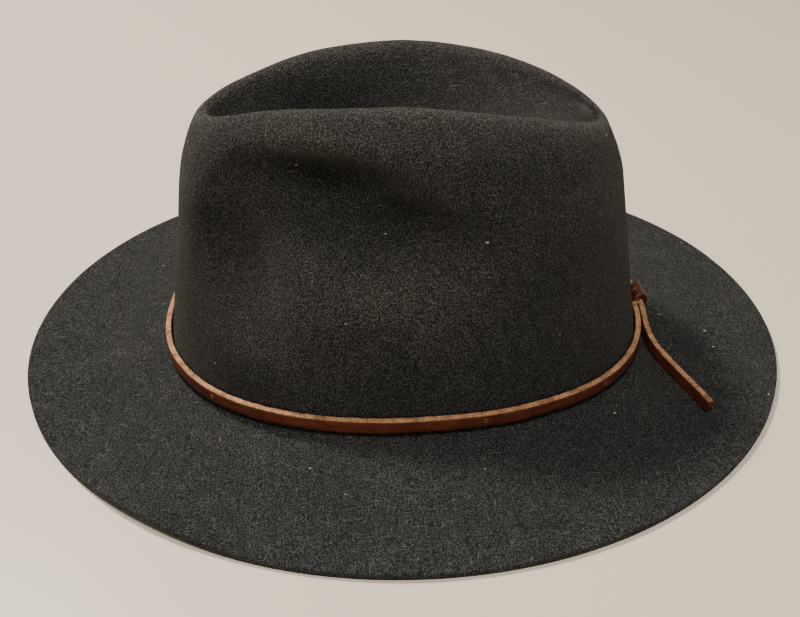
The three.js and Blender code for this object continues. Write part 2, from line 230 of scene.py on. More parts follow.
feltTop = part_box("felt_body")[1]
felt = {
    "around": 96,  # sections round the hat
    "rounding": 2,  # subdivision levels on the blocked cage
    "thickness": 2.5,
    "halfBrim": (feltTop.x / mm, feltTop.y / mm),
    "halfBase": (86.5, 104.5),  # outside of the felt where crown meets brim
    "height": feltTop.z / mm + 0.1,
    "squareness": 2.19,  # 2 is a plain oval
    "topSquareness": 2.05,
    "sideRise": 2.4,  # the break rises at the sides and sinks front and back
    "edgeRound": 0.55,
    # pale wear on ridges and painted shade in folds both begin to show between the heights given next
    "napFade": (25, 60),  # heights between which wear on the nap begins to show
    # bend scale for painted shade in folds and pale wear on ridges
    "shadeAndWearBend": 160,  # bend per metre from the darkest nap in a fold to the palest on a ridge
}
ridge = {
    "length": 163,
    "width": 74,
    "taper": 0.18,  # narrowing towards the front
    "peak": -8,  # where along the hat it is highest
    "fall": 0.0026,  # how fast it drops away from there
    "crest": 1.5,  # extra height that the rounding takes off again
}
crease = {
    "front": -72,
    "back": 74,
    "floor": 105.5,
    "depth": 14,  # how much lower the floor is at its deepest place
    "deepest": -22,
    "spread": 34,
    "lipShare": 0.2,  # how far in from the crest the lip lies
    "lipDrop": 0.5,
    "lipSideDrop": 3.5,  # the lip's extra drop at the sides
    "slopeShare": 0.55,  # how far in from the crest the slope turns
    "slopeRise": 0.24,  # and how far up from the floor
}
# dents pressed in both sides by finger and thumb: depth, middle, and how far each fades
pinches = [
    {"depth": 19, "y": -33, "z": 99, "along": 26, "above": 10, "below": 26},
    {"depth": 14, "y": -2, "z": 84, "along": 21, "above": 12, "below": 17},
    {"depth": 14, "y": -67, "z": 74, "along": 18, "above": 26, "below": 28},
]
# half widths and heights between which the dents fade in
pinchFade = {"width": (14, 42), "height": (24, 48)}
# the stretch of brim edge that is lifted
edgeLift = {"height": 2.6, "x": 114, "y": -104, "spread": 32}

# rings from the brim edge inwards: distance in at the sides and the ends, height, share of the side rise
brimRings = [
    {"side": 0, "end": 0, "z": 2.5, "rise": 0},
    {"side": 5, "end": 5, "z": 2.5, "rise": 0},
    {"side": 13, "end": 13, "z": 2.5, "rise": 0},
    {"side": 23, "end": 23, "z": 2.7, "rise": 0.1},
    {"side": 38, "end": 37, "z": 3.6, "rise": 0.4},
    {"side": 52, "end": 50, "z": 4.9, "rise": 0.8},
]
# rings up the wall: half sizes, height, share of the side rise, narrowing towards the front
wallRings = [
    {"side": 91.5, "front": 109.5, "back": 109.5, "z": 5.8, "rise": 1, "taper": 0},
    {"side": 87, "front": 105.2, "back": 105.2, "z": 7.2, "rise": 1, "taper": 0},
    {"side": 86.4, "front": 104.5, "back": 104.5, "z": 12.5, "rise": 1, "taper": 0},
    {"side": 85.2, "front": 103.2, "back": 103.2, "z": 21, "rise": 0.7, "taper": 0},
    {"side": 81.2, "front": 99.6, "back": 99, "z": 42, "rise": 0.2, "taper": 0},
    {"side": 74, "front": 95.4, "back": 95, "z": 65, "rise": 0, "taper": 0.02},
    {"side": 67, "front": 94, "back": 92, "z": 85, "rise": 0, "taper": 0.05},
]
# the top rings hang below the ridge line: drop at the front, the back and the side
topRings = [
    {"side": 60.5, "front": 91, "back": 89.5, "drop": (14, 12, 22), "taper": 0.1},
    {"side": 53.5, "front": 88.5, "back": 87, "drop": (8, 6, 10), "taper": 0.14},
    {"side": 45, "front": 85.5, "back": 84.5, "drop": (2, 0.5, 3.2), "taper": 0.17},
]


def breakRise(angle):
    return felt["sideRise"] * math.cos(2 * angle)


def ridgeHeight(y):
    return felt["height"] - ridge["fall"] * (y - ridge["peak"]) ** 2


def creaseHeight(y):
    return crease["floor"] - crease["depth"] * bell(y, crease["deepest"], crease["spread"])


def ovalPoint(angle, side, front, back, taper, squareness):
    across = math.cos(angle)
    along = math.sin(angle)
    power = 2 / squareness
    length = front if along < 0 else back
    x = side * math.copysign(abs(across) ** power, across) * (1 + taper * along)
    y = length * math.copysign(abs(along) ** power, along)
    return x, y


def ringPoint(angle, ring, squareness, height):
    x, y = ovalPoint(angle, ring["side"], ring["front"], ring["back"], ring["taper"], squareness)
    return Vector((x, y, height))


def brimPoints(angle):
    halfX, halfY = felt["halfBrim"]
    points = []
    for ring in brimRings:
        width = halfX - ring["side"]
        length = halfY - ring["end"]
        squareness = 2 + (felt["squareness"] - 2) * ring["rise"]
        x, y = ovalPoint(angle, width, length, length, 0, squareness)
        points.append(Vector((x, y, ring["z"] + ring["rise"] * breakRise(angle))))
    return points


def wallPoints(angle):
    points = []
    for ring in wallRings:
        height = ring["z"] + ring["rise"] * breakRise(angle)
        points.append(ringPoint(angle, ring, felt["squareness"], height))
    return points


def topPoints(angle, top):
    points = []
    for ring in topRings:
        atFront, atBack, atSide = ring["drop"]
        atEnd = atFront if math.sin(angle) < 0 else atBack
        drop = atEnd + (atSide - atEnd) * math.cos(angle) ** 2
        points.append(ringPoint(angle, ring, felt["topSquareness"], top - drop))
    return points


def creasePoints(angle, top):
    half = ridge["length"] / 2
    x, y = ovalPoint(angle, ridge["width"] / 2, half, half, ridge["taper"], 2)
    crest = Vector((x, y, top + ridge["crest"]))
    middle = (crease["front"] + crease["back"]) / 2
    floorY = middle + (crease["back"] - crease["front"]) / 2 * math.sin(angle)
    floor = Vector((0, floorY, creaseHeight(floorY)))
    lip = crest.lerp(floor, crease["lipShare"])
    lip.z = top - crease["lipDrop"] - crease["lipSideDrop"] * math.cos(angle) ** 2
    slope = crest.lerp(floor, crease["slopeShare"])
    slope.z = floor.z + (top - floor.z) * crease["slopeRise"]
    return [crest, lip, slope, floor]


def blockSection(angle):
    # one section in millimetres, from the brim edge up over the ridge and down into the crease
    top = ridgeHeight(math.sin(angle) * ridge["length"] / 2)
    return brimPoints(angle) + wallPoints(angle) + topPoints(angle, top) + creasePoints(angle, top)


def pressByHand(point):
    # the side dents and the lifted stretch of brim edge, in millimetres
    press = 0
    for pinch in pinches:
        spread = pinch["above"] if point.z > pinch["z"] else pinch["below"]
        along = bell(point.y, pinch["y"], pinch["along"])
        press += pinch["depth"] * along * bell(point.z, pinch["z"], spread)
    press *= easeBetween(abs(point.x), *pinchFade["width"])
    press *= easeBetween(point.z, *pinchFade["height"])
    point.x -= math.copysign(press, point.x)
    away = math.hypot(point.x - edgeLift["x"], point.y - edgeLift["y"])
    point.z += edgeLift["height"] * bell(away, 0, edgeLift["spread"])
    return point


def blockFelt():
    bpy.ops.object.select_all(action="DESELECT")
    bpy.ops.mesh.primitive_circle_add(vertices=felt["around"], radius=1, fill_type="NOTHING")
    body = bpy.context.object
    body.name = "feltBody"
    sections = len(blockSection(0))
    editAll(body)
    for ring in range(sections - 1):
        bpy.ops.mesh.extrude_edges_move(TRANSFORM_OT_translate={"value": (0, 0, 1)})
    bpy.ops.object.mode_set(mode="OBJECT")
    known = {}
    for vertex in body.data.vertices:
        angle = math.atan2(vertex.co.y, vertex.co.x)
        key = round(angle, 4)
        if key not in known:
            known[key] = blockSection(angle)
        vertex.co = known[key][round(vertex.co.z)] * mm
    editAll(body)
    bpy.ops.mesh.remove_doubles(threshold=0.02 * mm)
    bpy.ops.mesh.normals_make_consistent(inside=False)
    bpy.ops.object.mode_set(mode="OBJECT")
    return body


def pressFelt(body):
    for vertex in body.data.vertices:
        vertex.co = pressByHand(vertex.co / mm) * mm
    body.data.update()


# hand-made unevenness: bumps per metre, and height on the brim and added on the crown
unevenness = [
    {"scale": 28, "seed": 1, "brim": 0.25, "crown": 0.75},
    {"scale": 120, "seed": 2, "brim": 0.06, "crown": 0.1},
]
unevenFade = (12, 50)  # heights between which brim gives way to crown


def softenFelt(body):
    normals = [vertex.normal.copy() for vertex in body.data.vertices]
    for vertex, normal in zip(body.data.vertices, normals):
        place = vertex.co.copy()
        onCrown = easeBetween(place.z / mm, *unevenFade)
        for layer in unevenness:
            height = layer["brim"] + layer["crown"] * onCrown
            vertex.co += normal * wander(place, layer["scale"], layer["seed"]) * height * mm
    body.data.update()


# painted light and shade on the crown: pale patches on slopes that face the light, dark ones on the
# shaded front wall, under the rim and in the crease, in millimetres, the same on both sides
paintedLightAndShade = [
    {"middle": (75, 2, 60), "spread": (45, 30, 20), "lift": 0.42},
    {"middle": (75, -46, 32), "spread": (45, 24, 13), "lift": 0.32},
    {"middle": (60, -92, 50), "spread": (60, 16, 34), "lift": -0.3},
    {"middle": (48, -42, 109), "spread": (20, 30, 8), "lift": -0.12},
    {"middle": (0, -14, 104), "spread": (26, 44, 15), "lift": -0.4},
]


def bendOf(body, points):
    # how strongly the surface bends outwards at each point, per metre, evened out twice
    beside = [[] for _ in points]
    for edge in body.data.edges:
        a, b = edge.vertices
        beside[a].append(b)
        beside[b].append(a)
    bend = []
    for vertex, others in zip(body.data.vertices, beside):
        steps = [points[k] - vertex.co for k in others]
        rise = sum(step.dot(vertex.normal) for step in steps)
        bend.append(-2 * rise / sum(step.length_squared for step in steps))
    for _ in range(2):
        near = [sum(bend[j] for j in others) for others in beside]
        bend = [(bend[k] * 2 + near[k]) / (2 + len(beside[k])) for k in range(len(bend))]
    return bend


def markWearAndShade(body):
    # this attribute is 0.5 on flat felt, more on ridges where the nap wears pale, and less down in folds
    # as painted shade; the set patches add painted light and shade
    points = [vertex.co for vertex in body.data.vertices]
    bend = bendOf(body, points)
    wearAndShade = body.data.attributes.new("wearAndShade", "FLOAT", "POINT")
    for k, place in enumerate(points):
        onCrown = easeBetween(place.z / mm, *felt["napFade"])
        value = 0.5 + onCrown * bend[k] / felt["shadeAndWearBend"]
        inMillimetres = (abs(place.x) / mm, place.y / mm, place.z / mm)
        # add the painted light and shade patches
        for spot in paintedLightAndShade:
            sides = zip(inMillimetres, spot["middle"], spot["spread"])
            value += spot["lift"] * math.prod(bell(*side) for side in sides)
        wearAndShade.data[k].value = min(max(value, 0), 1)


feltBody = blockFelt()
applyModifier(feltBody, "SUBSURF", levels=felt["rounding"], render_levels=felt["rounding"])
pressFelt(feltBody)
softenFelt(feltBody)
markWearAndShade(feltBody)
outerFelt = surfaceOf(feltBody)
applyModifier(
    feltBody, "SOLIDIFY", thickness=felt["thickness"] * mm, offset=-1, use_even_offset=True,
)
applyModifier(
    feltBody, "BEVEL", width=felt["edgeRound"] * mm, segments=2,
    limit_method="ANGLE", angle_limit=math.radians(60),
)
for vertex in feltBody.data.vertices:
    vertex.co.z = max(vertex.co.z, 0)  # the brim rests on the table and not in it
smooth(feltBody, 60)
print("felt blocked", len(feltBody.data.polygons), "faces")


nap = {
    "grainScale": 1750,
    "grain": [(0.34, (0.005, 0.0055, 0.006)), (0.5, (0.027, 0.03, 0.033)), (0.66, (0.098, 0.105, 0.112))],
    "mottleScale": 210,
    "mottle": [(0.34, (0.88, 0.88, 0.9)), (0.66, (1.13, 1.12, 1.1))],
    "cloudScale": 30,
    "cloud": [(0.3, (0.84, 0.84, 0.86)), (0.7, (1.12, 1.1, 1.06))],
    # colour for pale wear on ridges, painted shade in folds, and painted light and shade in the set
    # patches
    "worn": [  # by the "rubbed" attribute
        (0.2, (0.62, 0.62, 0.63)),
        (0.45, (0.86, 0.86, 0.86)),
        (0.56, (1, 1, 1)),
        (0.95, (1.55, 1.52, 1.46)),
    ],
    # painted shade with a warm cast: the felt is painted darker and warmer from the brim up onto the
    # crown
    "crownShadeTo": 0.05,  # height in metres at which "handled" reaches one
    "crownShade": [(0.25, (1, 1, 1)), (0.7, (0.9, 0.87, 0.83))],
    "fibreStretch": [(170, 1700, 1700), (1700, 190, 1700), (1700, 1700, 180)],
    "fibrePale": [(0.66, (0, 0, 0)), (0.8, (1, 1, 1))],
    "fibreStrength": 0.55,
    "fibreColor": (0.17, 0.175, 0.17),
    "fibreHeight": 0.6,
    "lintColor": (0.55, 0.54, 0.5),
    "height": 0.0008,
}


def fibresAt(tree):
    # three sets of stretched noise, each lying its own way
    strongest = 0
    for stretch in nap["fibreStretch"]:
        lean = (0.4 + stretch[0] * 0.0007, 0.7, 0.3 + stretch[1] * 0.0005)
        fibre = noiseAt(tree, objectPlace(tree, stretch, lean), 1.0, 1, 0.5)
        strongest = mathAt(tree, "MAXIMUM", strongest, fibre)
    return strongest


# pale specks a millimetre or so long: cells per metre, turn of the cells, and how many are left empty
lint = {"cells": (120, 80, 150), "lean": (0.5, 0.3, 0.9), "size": 0.06, "empty": 0.35, "strength": 0.8}


def lintAt(tree):
    specks = node(tree, "ShaderNodeTexVoronoi", Scale=1.0)
    tree.links.new(objectPlace(tree, lint["cells"], lint["lean"]), specks.inputs["Vector"])
    split = node(tree, "ShaderNodeSeparateColor")
    tree.links.new(specks.outputs["Color"], split.inputs["Color"])
    size = mathAt(tree, "MULTIPLY", split.outputs["Red"], lint["size"])
    near = mathAt(tree, "LESS_THAN", specks.outputs["Distance"], size)
    chosen = mathAt(tree, "GREATER_THAN", split.outputs["Green"], lint["empty"])
    return mathAt(tree, "MULTIPLY", mathAt(tree, "MULTIPLY", near, chosen), lint["strength"])


def feltMaterial():
    material, tree, shader = newMaterial(
        "charcoalFelt", 0.96, sheen=0.07, sheenRoughness=0.35, specular=0.15
    )
    shader.inputs["Sheen Tint"].default_value = (0.9, 0.88, 0.82, 1)
    place = objectPlace(tree)
    grain = noiseAt(tree, place, nap["grainScale"], 2)
    mottle = noiseAt(tree, place, nap["mottleScale"], 3)
    cloud = noiseAt(tree, place, nap["cloudScale"], 3)
    wearAndShade = node(tree, "ShaderNodeAttribute", attribute_name="wearAndShade")
    split = node(tree, "ShaderNodeSeparateXYZ")
    tree.links.new(place, split.inputs["Vector"])
    # painted shade with a warm cast, growing with height up the crown
    height = mathAt(tree, "MULTIPLY", split.outputs["Z"], 1 / nap["crownShadeTo"])
    color = rampFrom(tree, grain, nap["grain"])
    color = tint(tree, color, rampFrom(tree, mottle, nap["mottle"]))
    color = tint(tree, color, rampFrom(tree, cloud, nap["cloud"]))
    # pale wear on ridges, painted shade in folds, and painted light and shade in the set patches
    color = tint(tree, color, rampFrom(tree, wearAndShade.outputs["Fac"], nap["worn"]))
    color = tint(tree, color, rampFrom(tree, height, nap["crownShade"]))
    fibres = fibresAt(tree)
    pale = mathAt(tree, "MULTIPLY", rampFrom(tree, fibres, nap["fibrePale"]), nap["fibreStrength"])
    color = mixColors(tree, pale, color, nap["fibreColor"])
    color = mixColors(tree, lintAt(tree), color, nap["lintColor"])
    tree.links.new(color, shader.inputs["Base Color"])
    raised = mathAt(tree, "ADD", mathAt(tree, "MULTIPLY", fibres, nap["fibreHeight"]), grain)
    bumpFrom(tree, shader, raised, nap["height"])
    return material


finishPiece(feltBody, "felt_body", feltMaterial())


lace = {
    "width": 6.0,
    "thickness": 2.3,
    "corner": 0.35,
    "step": 1.0,  # length of one stretch of the strip
    "fray": 0.18,  # how far the cut edges stand ragged
    "swell": 0.12,  # how far both faces stand out along the middle
    "wave": 0.12,  # slow unevenness through the thickness
    "drift": 0.18,  # and across the width
    "low": 9.2,  # lower edge above the table, before the rise of the break
    "gap": 0.35,
    "slack": 0.25,  # average extra distance from the felt, which varies along the strap
    "knotTurn": math.radians(4.4),  # half of the turn that the knot takes up
}
# distances in from a cut edge, in millimetres, from where a change begins to where it is complete
cutEdge = {"ragged": (0.55, 0.2), "wideCore": (0.7, 0.4), "narrowCore": (0.42, 0.12)}
dyedCorner = (0.3, 0.75)  # shares of the half thickness over which dye covers the narrow core


def straightLace(name, length, seed, width=lace["width"]):
    # a straight strip from x = 0, grain face towards +Y, cut edges up and down
    bpy.ops.object.select_all(action="DESELECT")
    bpy.ops.mesh.primitive_cube_add(size=1, location=(0.5, 0, 0))
    strip = bpy.context.object
    strip.name = name
    strip.scale = (length, lace["thickness"] * mm, width * mm)
    strip.location.x = length / 2
    settle(strip)
    cuts = max(int(length / (lace["step"] * mm)), 8)
    for vertexAxis, count in ((2, 5), (1, 3), (0, cuts)):
        cutAlong(strip, vertexAxis, count)
    applyModifier(
        strip, "BEVEL", width=lace["corner"] * mm, segments=2,
        limit_method="ANGLE", angle_limit=math.radians(60),
    )
    roughenLace(strip, width, seed)
    return strip


def cutAlong(strip, axis, count):
    # subdivides only the edges that run along one axis
    while count > 0:
        activate(strip)
        bpy.ops.object.mode_set(mode="EDIT")
        bpy.ops.mesh.select_mode(type="EDGE")
        bpy.ops.mesh.select_all(action="DESELECT")
        bpy.ops.object.mode_set(mode="OBJECT")
        for edge in strip.data.edges:
            ends = [strip.data.vertices[k].co for k in edge.vertices]
            line = ends[1] - ends[0]
            edge.select = abs(line[axis]) > 0.9 * line.length
        bpy.ops.object.mode_set(mode="EDIT")
        now = min(count, 9)
        bpy.ops.mesh.subdivide(number_cuts=now)
        bpy.ops.object.mode_set(mode="OBJECT")
        count = (count - now) // (now + 1)


def edgeFade(place, half, distances):
    begins, complete = distances
    return easeBetween(abs(place.z), half - begins * mm, half - complete * mm)


def coreShowing(place, half, halfThick):
    # 1 where the raw core is bare: a wide band at -z, which is the strap's upper edge once it is laid,
    # and a narrow one at +z, where dye runs over the corner
    if place.z < 0:
        return edgeFade(place, half, cutEdge["wideCore"])
    begins, complete = dyedCorner
    dyed = easeBetween(place.y, halfThick * begins, halfThick * complete) if place.z > 0 else 0
    return edgeFade(place, half, cutEdge["narrowCore"]) * (1 - dyed)


def roughenLace(strip, width, seed):
    half = width * mm / 2
    halfThick = lace["thickness"] * mm / 2
    uvLayer = strip.data.uv_layers.active or strip.data.uv_layers.new(name="UVMap")
    for loop in strip.data.loops:
        place = strip.data.vertices[loop.vertex_index].co
        uvLayer.data[loop.index].uv = (place.x, place.z + place.y)
    core = strip.data.attributes.new("cutEdge", "FLOAT", "POINT")
    for vertex in strip.data.vertices:
        place = vertex.co.copy()
        core.data[vertex.index].value = coreShowing(place, half, halfThick)
        frayed = edgeFade(place, half, cutEdge["ragged"]) * lace["fray"] * mm
        if abs(place.y) > halfThick * 0.8:
            place.y += math.copysign(lace["swell"] * (1 - (place.z / half) ** 2) * mm, place.y)
        ragged = wander(place, 900, seed) + wander(place, 350, seed + 1)
        place.z += math.copysign(1, place.z) * ragged * frayed
        place.y += wander(place, 700, seed + 2) * frayed
        place.y += wander((place.x, 0, 0), 60, seed + 3) * lace["wave"] * mm
        place.z += wander((place.x, 1, 0), 35, seed + 4) * lace["drift"] * mm
        vertex.co = place
    strip.data.update()


def routeLengths(route):
    lengths = [0]
    for before, after in zip(route, route[1:]):
        lengths.append(lengths[-1] + (after - before).length)
    return lengths


def smoothRoute(points, perStep=8):
    # a smooth curve through the points, as closely spaced positions
    dense = []
    for k in range(len(points) - 1):
        before = points[max(k - 1, 0)]
        after = points[min(k + 2, len(points) - 1)]
        for part in range(perStep):
            t = part / perStep
            a = points[k] * 2
            b = points[k + 1] - before
            c = before * 2 - points[k] * 5 + points[k + 1] * 4 - after
            d = points[k] * 3 - before - points[k + 1] * 3 + after
            dense.append((a + b * t + c * t * t + d * t * t * t) / 2)
    dense.append(points[-1])
    return dense


def routeFrames(route, facing):
    # at each point of a route: the way along it, the way the grain face looks, and the strip's +z
    frames = []
    for k in range(len(route)):
        along = (route[min(k + 1, len(route) - 1)] - route[max(k - 1, 0)]).normalized()
        face = facing(k, along)
        face = (face - along * face.dot(along)).normalized()
        frames.append((along, face, along.cross(face)))
    return frames


def layOnRoute(strip, route, facing):
    # bends a straight strip along a route; facing(k, along) is the way its grain face looks
    lengths = routeLengths(route)
    frames = routeFrames(route, facing)
    reach = max(vertex.co.x for vertex in strip.data.vertices)
    k = 0
    for vertex in sorted(strip.data.vertices, key=lambda v: v.co.x):
        at = min(max(vertex.co.x / reach, 0), 1) * lengths[-1]
        while k < len(lengths) - 2 and lengths[k + 1] < at:
            k += 1
        share = (at - lengths[k]) / (lengths[k + 1] - lengths[k])
        centre = route[k].lerp(route[k + 1], share)
        face = frames[k][1].lerp(frames[k + 1][1], share)
        rise = frames[k][2].lerp(frames[k + 1][2], share)
        vertex.co = centre + face * vertex.co.y + rise * vertex.co.z
    strip.data.update()
    editAll(strip)
    bpy.ops.mesh.normals_make_consistent(inside=False)
    bpy.ops.object.mode_set(mode="OBJECT")
    smooth(strip, 50)


def wallHit(angle, height):
    # where a level line from outside meets the crown, and the level direction out of it
    halfX, halfY = felt["halfBase"]
    x, y = ovalPoint(angle, halfX, halfY, halfY, 0, felt["squareness"])
    out = Vector((x / halfX ** 2, y / halfY ** 2, 0)).normalized()
    start = Vector((x * mm, y * mm, height)) + out * 8 * mm
    point, normal = outerFelt.ray_cast(start, -out)[:2]
    return point, Vector((normal.x, normal.y, 0)).normalized()


leather = {
    "streakScale": 420,
    "grain": [(0.28, (0.08, 0.021, 0.01)), (0.5, (0.146, 0.037, 0.015)), (0.75, (0.225, 0.064, 0.025))],
    "patchScale": 55,
    "patches": [(0.3, (0.72, 0.69, 0.67)), (0.68, (1.32, 1.25, 1.18))],
    "fibreScale": 1500,
    "core": [(0.32, (0.19, 0.075, 0.032)), (0.5, (0.52, 0.27, 0.13)), (0.66, (0.84, 0.58, 0.36))],
    "stainScale": 170,
    "stain": [(0.36, (0.5, 0.42, 0.36)), (0.56, (1, 1, 1))],
    "coreRoughness": 0.45,
    "streakRoughness": 0.25,
    "poreScale": 2600,
    "poreHeight": 0.35,
    "fibreHeight": 2.0,
    "height": 0.00018,
}


def leatherMaterial(name, paleEdge, shade, dullness):
    # paleEdge is how much of the raw tan core shows on cut edges, shade darkens the grain face
    material, tree, shader = newMaterial(name, 0.42, coat=0.12, specular=0.5)
    shader.inputs["Coat Roughness"].default_value = 0.35
    uv = node(tree, "ShaderNodeUVMap")
    stretch = node(tree, "ShaderNodeMapping")
    stretch.inputs["Scale"].default_value = (0.35, 1, 1)
    tree.links.new(uv.outputs["UV"], stretch.inputs["Vector"])
    streak = noiseAt(tree, stretch.outputs["Vector"], leather["streakScale"])
    place = objectPlace(tree)
    patch = noiseAt(tree, place, leather["patchScale"], 3)
    face = tint(tree, rampFrom(tree, streak, leather["grain"]), (shade, shade, shade))
    face = tint(tree, face, rampFrom(tree, patch, leather["patches"]))
    fibre = noiseAt(tree, place, leather["fibreScale"], 5, 0.75)
    blotch = noiseAt(tree, place, leather["stainScale"], 4, 0.7)
    core = tint(tree, rampFrom(tree, fibre, leather["core"]), rampFrom(tree, blotch, leather["stain"]))
    edge = node(tree, "ShaderNodeAttribute", attribute_name="cutEdge")
    bare = mathAt(tree, "MULTIPLY", edge.outputs["Fac"], paleEdge)
    tree.links.new(mixColors(tree, bare, face, core), shader.inputs["Base Color"])
    coreDull = mathAt(tree, "MULTIPLY", bare, leather["coreRoughness"])
    streakDull = mathAt(tree, "MULTIPLY", streak, leather["streakRoughness"])
    dull = mathAt(tree, "ADD", coreDull, streakDull)
    tree.links.new(mathAt(tree, "ADD", dull, dullness), shader.inputs["Roughness"])
    pores = noiseAt(tree, place, leather["poreScale"], 3)
    pores = mathAt(tree, "MULTIPLY", pores, leather["poreHeight"])
    hairy = mathAt(tree, "MULTIPLY", mathAt(tree, "MULTIPLY", fibre, bare), leather["fibreHeight"])
    bumpFrom(tree, shader, mathAt(tree, "ADD", pores, hairy), leather["height"], 0.8)
    return material


laceLeather = leatherMaterial("chestnutLace", paleEdge=1.0, shade=1.0, dullness=0.28)
knotLeather = leatherMaterial("polishedKnot", paleEdge=0.12, shade=0.55, dullness=0.12)


def strapRoute(steps):
    # round the crown from one side of the knot to the other, with both ends tucked into the knot
    centreUp = lace["low"] + lace["width"] / 2
    route = []
    outs = []
    for k in range(steps + 1):
        angle = backAngle + lace["knotTurn"] + (turn - 2 * lace["knotTurn"]) * k / steps
        height = centreUp + breakRise(angle)
        point, out = wallHit(angle, height * mm)
        slack = lace["slack"] * (1 + noise.noise(Vector((angle * 1.7, 3, 0))))
        stand = lace["gap"] + lace["thickness"] / 2 + slack
        route.append(Vector((point.x, point.y, height * mm)) + out * stand * mm)
        outs.append(out)
    first, last = route[0], route[-1]
    tuckedFirst = Vector((-5 * mm, first.y + 1.6 * mm, first.z))
    tuckedLast = Vector((5 * mm, last.y + 1.6 * mm, last.z))
    return [tuckedFirst, *route, tuckedLast], [outs[0], *outs, outs[-1]]


def layStrap():
    route, outs = strapRoute(240)
    strap = straightLace("bandStrap", routeLengths(route)[-1], 3)
    layOnRoute(strap, route, lambda k, along: outs[k])
    finishPiece(strap, "band_strap", laceLeather)
    return strap


strapSurface = surfaceOf(layStrap())
print("strap laid")

# middle lines of the loose ends from the knot outwards, in millimetres
nearTailRoute = [
    (9.3, 109.1, 9.7), (13, 108.6, 9.5), (18, 107.9, 9.1), (23, 107.4, 8.6), (28, 107.3, 8.1),
    (33, 107.6, 7.6), (38, 108.5, 7.2), (43, 109.8, 6.9), (48, 111.3, 6.7), (53, 112.9, 6.5),
    (58, 114.5, 6.4), (63, 116.1, 6.3), (68, 117.6, 6.2), (72, 118.7, 6.2), (76, 119.8, 6.2),
]
farTailRoute = [
    (-9.3, 109.1, 9.7), (-13, 108.5, 9.4), (-17, 107.8, 9.1), (-21, 107, 8.7), (-25, 106.1, 8.3),
    (-29, 105.2, 8), (-33, 104.2, 7.8), (-37, 103.2, 7.65), (-41, 102.1, 7.6), (-45, 100.9, 7.65),
    (-49, 99.8, 7.65), (-52, 98.8, 7.7), (-55, 97.9, 7.7), (-58, 97, 7.7),
]


tailBend = {"root": 4.5, "from": 9, "to": 17}  # distances from the middle of the knot


def layTail(name, nodeName, points, seed):
    side = math.copysign(1, points[0][0])
    root = (side * tailBend["root"], points[0][1] + 0.2, points[0][2] + 0.1)
    route = smoothRoute([Vector(point) * mm for point in [root, *points]])
    length = routeLengths(route)[-1]
    tail = straightLace(name, length, seed)
    layOnRoute(tail, route, lambda k, along: along.cross(Vector((0, 0, 1))) * side)
    tail.data.materials.append(laceLeather)
    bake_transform(tail)
    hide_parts(nodeName)


layTail("nearTail", "near_tail", nearTailRoute, 11)
layTail("farTail", "far_tail", farTailRoute, 23)
print("tails laid")

knot = {
    "turns": 2.0,
    "pitch": 5.4,
    "width": 5.2,
    "start": -math.pi / 2 - 0.5,  # where round the crossed ends the wrap begins
    "steps": 72,
}


def tieKnot():
    # two turns of lace drawn round the crossed ends
    low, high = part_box("band_knot")
    centre = (low + high) / 2
    reachY = (high.y - low.y) / 2 - lace["thickness"] * mm / 2
    reachZ = (high.z - low.z) / 2 - lace["thickness"] * mm / 2
    route = []
    outs = []
    for k in range(knot["steps"] + 1):
        share = k / knot["steps"]
        angle = knot["start"] + turn * knot["turns"] * share
        x = knot["pitch"] * knot["turns"] * (share - 0.5) * mm
        route.append(centre + Vector((x, reachY * math.cos(angle), reachZ * math.sin(angle))))
        outs.append(Vector((0, math.cos(angle) / reachY, math.sin(angle) / reachZ)).normalized())
    wrap = straightLace("bandKnot", routeLengths(route)[-1], 31, knot["width"])
    layOnRoute(wrap, route, lambda k, along: outs[k])
    finishPiece(wrap, "band_knot", knotLeather)


tieKnot()
print("knot tied")


def wovenHeight(tree, weave):
    # threads along and across, counted per metre on the piece's UV map
    uv = node(tree, "ShaderNodeUVMap")
    threads = []
    for direction, count in zip(("X", "Y"), weave):
        wave = node(
            tree, "ShaderNodeTexWave", bands_direction=direction, Scale=count / turn, Distortion=0.3
        )
        tree.links.new(uv.outputs["UV"], wave.inputs["Vector"])
        threads.append(wave.outputs["Fac"])
    return mathAt(tree, "MAXIMUM", threads[0], threads[1])


def plainMaterial(name, colors, scale, roughness, bump, weave=None):
    # colour and bump from noise, or from a thread pattern
    material, tree, shader = newMaterial(name, roughness, specular=0.4)
    cloud = noiseAt(tree, objectPlace(tree), scale, 5, 0.65)
    color = rampFrom(tree, cloud, list(zip((0.3, 0.5, 0.7), colors)))
    height = cloud
    if weave:
        height = wovenHeight(tree, weave)
        shadow = rampFrom(tree, height, [(0.2, (0.45, 0.45, 0.45)), (0.8, (1.1, 1.1, 1.1))])
        color = tint(tree, color, shadow)
    tree.links.new(color, shader.inputs["Base Color"])
    worn = mathAt(tree, "ADD", mathAt(tree, "MULTIPLY", cloud, 0.3), roughness - 0.15)
    tree.links.new(worn, shader.inputs["Roughness"])
    bumpFrom(tree, shader, height, bump, 0.8)
    return material


